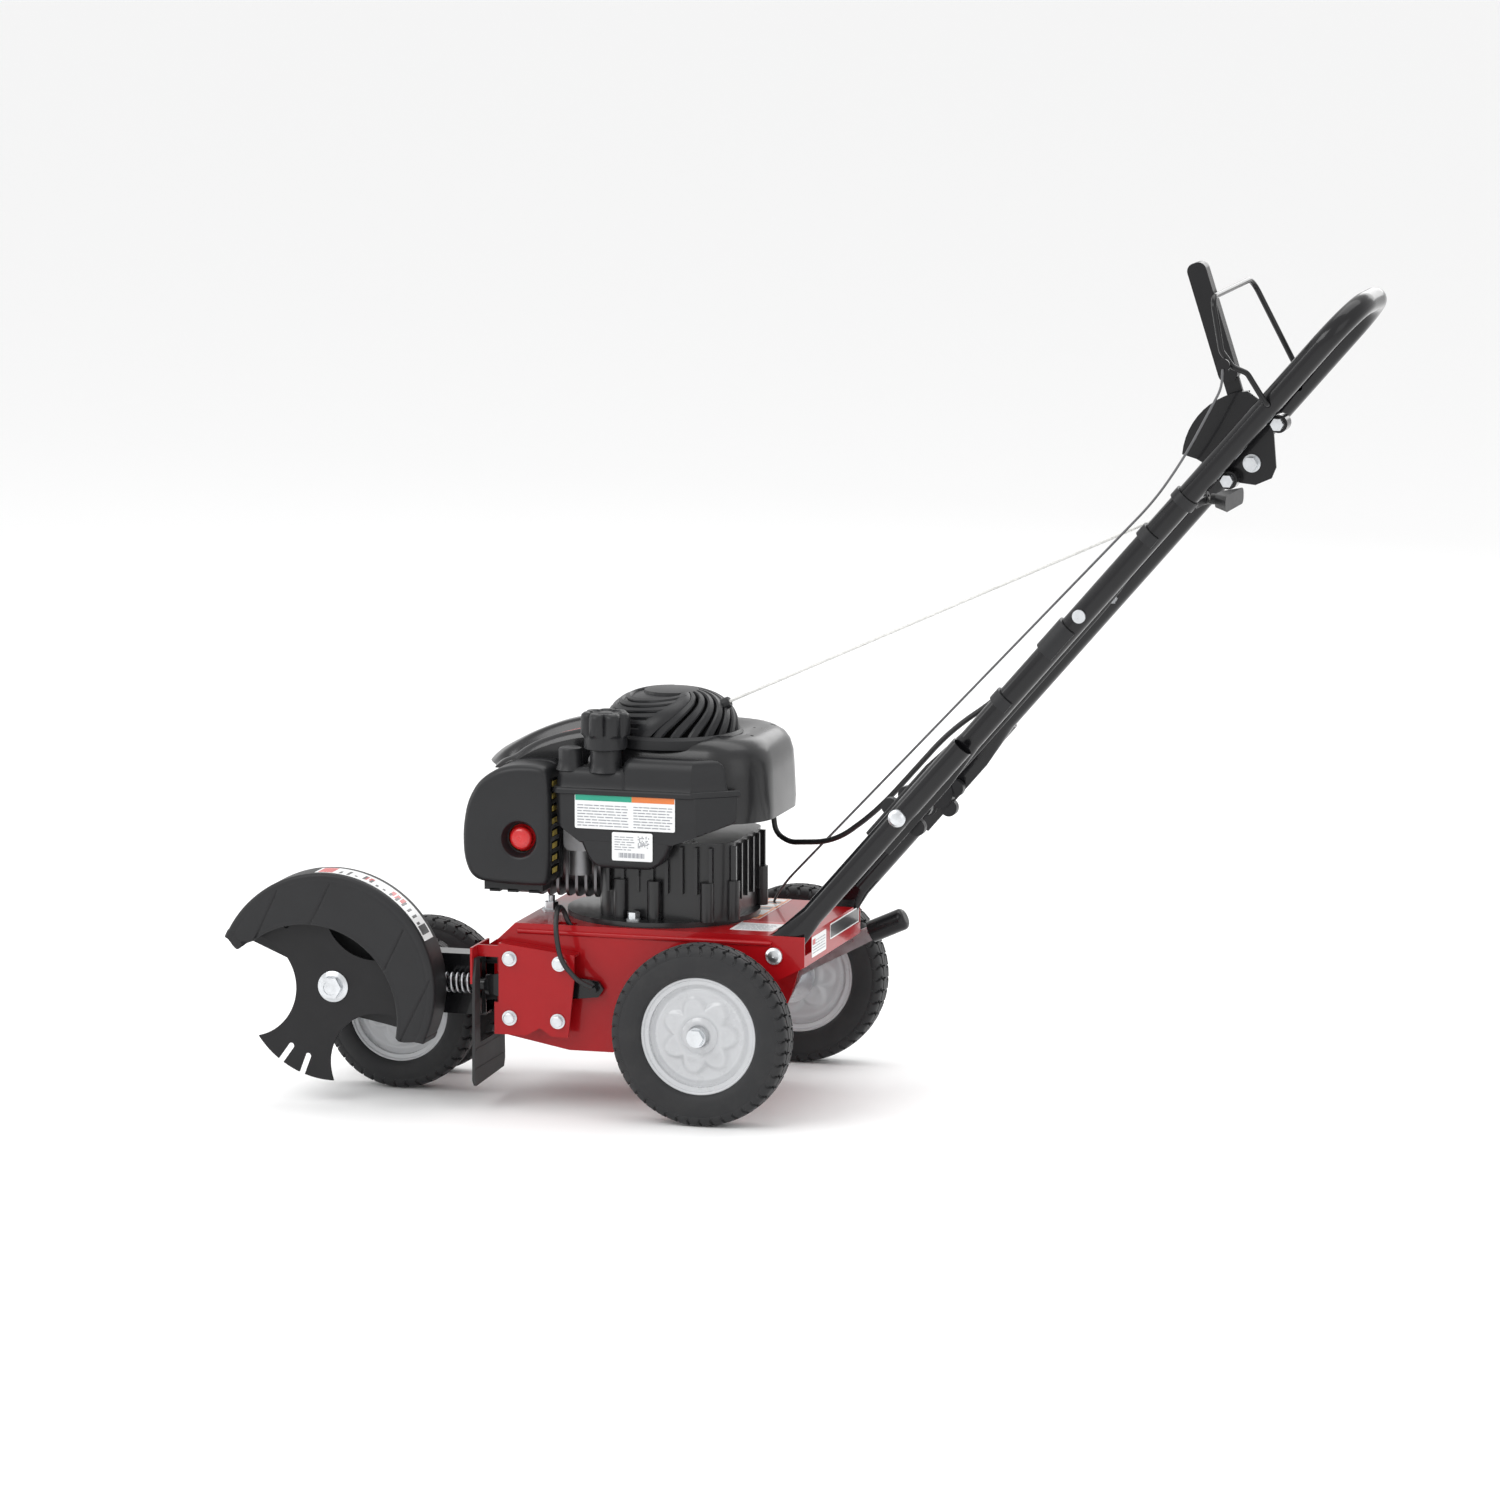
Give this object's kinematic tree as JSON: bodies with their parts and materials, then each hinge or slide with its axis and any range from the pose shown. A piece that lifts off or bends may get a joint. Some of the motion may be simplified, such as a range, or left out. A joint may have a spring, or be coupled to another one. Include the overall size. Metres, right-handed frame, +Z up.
{
  "type": "walk-behind lawn edger",
  "caption": "Petrol lawn edger on four wheels, with a vertical cutting blade under a guard at the front and a folding tubular handle.",
  "frame": {"origin": "middle of the bounding box's base, on the ground plane", "axes": "+X points to the rear, where the handle is; -Y points to the operator's left, the side that carries the blade; +Z is up"},
  "size_m": [1.2784, 0.454, 0.9622],
  "materials": {
    "red_paint": "glossy deep red powder coat",
    "black_paint": "satin black enamel",
    "zinc": "bright zinc plating",
    "steel": "plain machined steel",
    "rubber": "dull moulded rubber",
    "grip_rubber": "smooth dipped vinyl grip",
    "tyre": "dark rubber with a block tread",
    "rim_grey": "glossy light grey paint",
    "black_plastic": "fine grained black moulding",
    "guard_plastic": "smooth black moulding",
    "engine_black": "satin black engine paint",
    "cast_aluminium": "as cast",
    "ceramic_plug": "black boot over white ceramic and steel",
    "muffler_steel": "heat resistant dark grey",
    "filter_foam": "yellowish oiled foam",
    "primer_red": "soft translucent red",
    "belt_rubber": "fabric wrapped V belt",
    "rope": "braided white cord",
    "cable_grey": "thin dark cable casing",
    "cable_black": "smooth black cable casing",
    "blade_steel": "black painted hardened steel"
  },
  "bodies": {
    "chassis": {"deck": "red_paint", "blade_bracket": "red_paint", "frame_bolts": "zinc", "front_arm": "red_paint", "axles": "zinc", "debris_flap": "rubber", "curb_index": "red_paint", "pivot_pins": "zinc", "lower_tube_near": "black_paint", "lower_tube_far": "black_paint", "engine_base": "engine_black", "crankcase": "engine_black", "cylinder": "cast_aluminium", "spark_plug": "ceramic_plug", "blower_housing": "engine_black", "dome_grille": "black_plastic", "front_cover": "black_plastic", "fuel_tank": "black_plastic", "carburettor": "cast_aluminium", "air_filter_base": "black_plastic", "air_filter_element": "filter_foam", "air_filter_cover": "black_plastic", "muffler": "muffler_steel", "starter_rope": "rope", "clutch_cable": "cable_grey", "engine_cable": "cable_black", "depth_cable": "cable_black", "drive_belt": "belt_rubber"},
    "upper_handle": {"mid_tubes": "black_paint", "handle_hoop": "black_paint", "handle_bolts": "zinc", "quadrant": "black_paint", "handle_clips": "black_plastic"},
    "star_knob_near": {"star_knob_near": "black_plastic"},
    "star_knob_far": {"star_knob_far": "black_plastic"},
    "depth_lever": {"lever_bar": "black_paint", "lever_grip": "grip_rubber"},
    "bail": {"bail_wire": "black_paint"},
    "starter_pull": {"starter_grip": "black_plastic"},
    "crank": {"crankshaft": "steel", "flywheel": "cast_aluminium"},
    "primer": {"primer_bulb": "primer_red"},
    "fuel_cap": {"fuel_cap": "black_plastic"},
    "idler": {"idler_arm": "steel"},
    "curb_arm": {"curb_arm": "zinc", "curb_grip": "grip_rubber"},
    "blade_arm": {"blade_arm": "black_paint", "arm_spring": "zinc"},
    "blade_head": {"spindle_housing": "black_paint", "blade_guard": "guard_plastic"},
    "spindle": {"blade": "blade_steel", "spindle_shaft": "zinc"},
    "wheel_rear_near": {"tyre_rear_near": "tyre", "rim_rear_near": "rim_grey"},
    "wheel_rear_far": {"tyre_rear_far": "tyre", "rim_rear_far": "rim_grey"},
    "wheel_front_near": {"tyre_front_near": "tyre", "rim_front_near": "rim_grey"},
    "wheel_front_far": {"tyre_front_far": "tyre", "rim_front_far": "rim_grey"}
  },
  "joints": [
    {"name": "handle_fold", "type": "hinge", "parent": "chassis", "child": "upper_handle", "pos_m": [0.12508, -0.036, 0.34512], "axis": [0, -1, 0], "range_deg": [0, 95], "deforming": ["clutch_cable", "engine_cable", "depth_cable", "starter_rope"]},
    {"name": "blade_depth", "type": "hinge", "parent": "chassis", "child": "blade_arm", "pos_m": [-0.28358, -0.155, 0.137], "axis": [0, -1, 0], "range_deg": [0, 16], "deforming": ["drive_belt", "depth_cable"]},
    {"name": "depth_lever_turn", "type": "hinge", "parent": "upper_handle", "child": "depth_lever", "pos_m": [0.50722, -0.06, 0.7452], "axis": [0, -1, 0], "range_deg": [0, 46]},
    {"name": "blade_bevel", "type": "hinge", "parent": "blade_arm", "child": "blade_head", "pos_m": [-0.38358, -0.155, 0.137], "axis": [1, 0, 0], "range_deg": [-15, 15], "deforming": ["drive_belt"]},
    {"name": "crank_spin", "type": "hinge", "parent": "chassis", "child": "crank", "pos_m": [-0.17558, -0.036, 0.168], "axis": [0, 0, 1], "continuous": true},
    {"name": "blade_spin", "type": "hinge", "parent": "blade_head", "child": "spindle", "pos_m": [-0.51258, -0.16, 0.133], "axis": [0, 1, 0], "continuous": true},
    {"name": "bail_squeeze", "type": "hinge", "parent": "upper_handle", "child": "bail", "pos_m": [0.53466, -0.036, 0.81629], "axis": [0, 1, 0], "range_deg": [0, 60], "stiffness_Nm_per_rad": 0.8, "springref_deg": -17.19, "deforming": ["clutch_cable"]},
    {"name": "idler_swing", "type": "hinge", "parent": "chassis", "child": "idler", "pos_m": [-0.13258, 0.026, 0.187], "axis": [0, 0, 1], "range_deg": [0, 7.5], "deforming": ["drive_belt"]},
    {"name": "starter_pull", "type": "slide", "parent": "upper_handle", "child": "starter_pull", "axis": [1, 0, 0], "range_m": [0, 0.09], "deforming": ["starter_rope"]},
    {"name": "primer_push", "type": "slide", "parent": "chassis", "child": "primer", "axis": [0, 1, 0], "range_m": [0, 0.006], "stiffness_N_per_m": 300, "springref_m": -0.002},
    {"name": "fuel_cap_turn", "type": "hinge", "parent": "chassis", "child": "fuel_cap", "pos_m": [-0.21458, -0.131, 0.42], "axis": [0, 0, 1], "range_deg": [0, 90]},
    {"name": "rear_near_spin", "type": "hinge", "parent": "chassis", "child": "wheel_rear_near", "pos_m": [-0.08358, -0.196, 0.1016], "axis": [0, 1, 0], "continuous": true},
    {"name": "rear_far_spin", "type": "hinge", "parent": "curb_arm", "child": "wheel_rear_far", "pos_m": [-0.08358, 0.196, 0.1016], "axis": [0, 1, 0], "continuous": true},
    {"name": "front_near_spin", "type": "hinge", "parent": "chassis", "child": "wheel_front_near", "pos_m": [-0.47058, -0.078, 0.0889], "axis": [0, 1, 0], "continuous": true},
    {"name": "front_far_spin", "type": "hinge", "parent": "chassis", "child": "wheel_front_far", "pos_m": [-0.47058, 0.022, 0.0889], "axis": [0, 1, 0], "continuous": true},
    {"name": "curb_drop", "type": "hinge", "parent": "chassis", "child": "curb_arm", "pos_m": [-0.17858, 0.086, 0.15], "axis": [0, 1, 0], "range_deg": [0, 28]},
    {"name": "near_knob_turn", "type": "hinge", "parent": "upper_handle", "child": "star_knob_near", "pos_m": [0.12508, -0.104, 0.34512], "axis": [0, 1, 0], "continuous": true},
    {"name": "far_knob_turn", "type": "hinge", "parent": "upper_handle", "child": "star_knob_far", "pos_m": [0.12508, 0.032, 0.34512], "axis": [0, 1, 0], "continuous": true}
  ],
  "couplings": [
    {"joint": "depth_lever_turn", "follows": "blade_depth", "ratio": 2.78},
    {"joint": "blade_spin", "follows": "crank_spin", "ratio": 1.27},
    {"joint": "idler_swing", "follows": "bail_squeeze", "ratio": 0.08}
  ]
}
